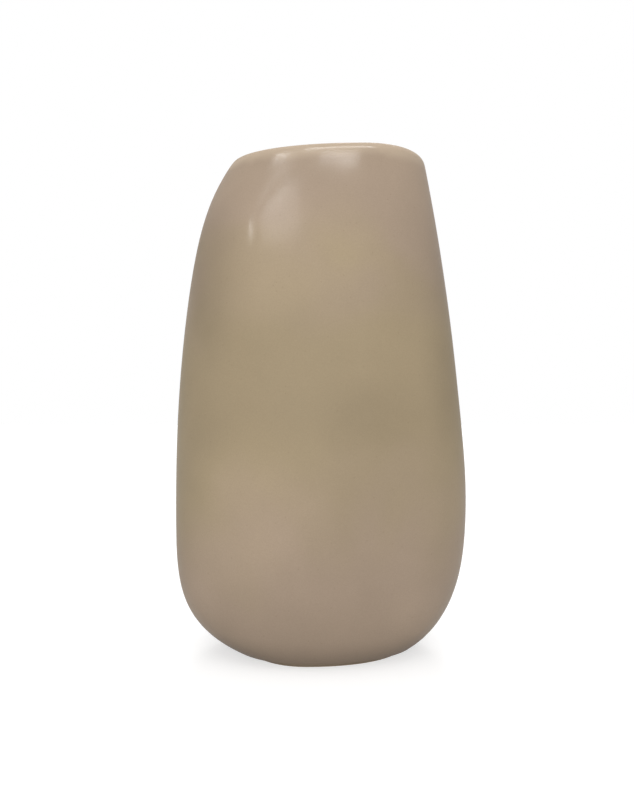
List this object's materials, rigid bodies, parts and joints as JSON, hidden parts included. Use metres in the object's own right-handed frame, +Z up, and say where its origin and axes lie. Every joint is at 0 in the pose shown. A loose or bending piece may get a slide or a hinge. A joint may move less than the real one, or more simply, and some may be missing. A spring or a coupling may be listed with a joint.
{
  "type": "pillow vase",
  "caption": "Slip-cast pottery pillow vase with a wide low belly, a lopsided flattened oval plan, a narrower rounded mouth and a satin taupe glaze.",
  "frame": {"origin": "on the table plane under the centre of the vase's bounding box", "axes": "+Z up from the foot to the mouth, +X across the width towards the side that leans in from the belly, -Y towards the front face that the picture shows"},
  "size_m": [0.155, 0.096, 0.26],
  "materials": {
    "bare_clay": "matte",
    "outer_glaze": "satin",
    "inner_glaze": "gloss"
  },
  "bodies": {
    "root": {"clay_body": "bare_clay", "outer_glaze": "outer_glaze", "inner_glaze": "inner_glaze"}
  },
  "joints": []
}
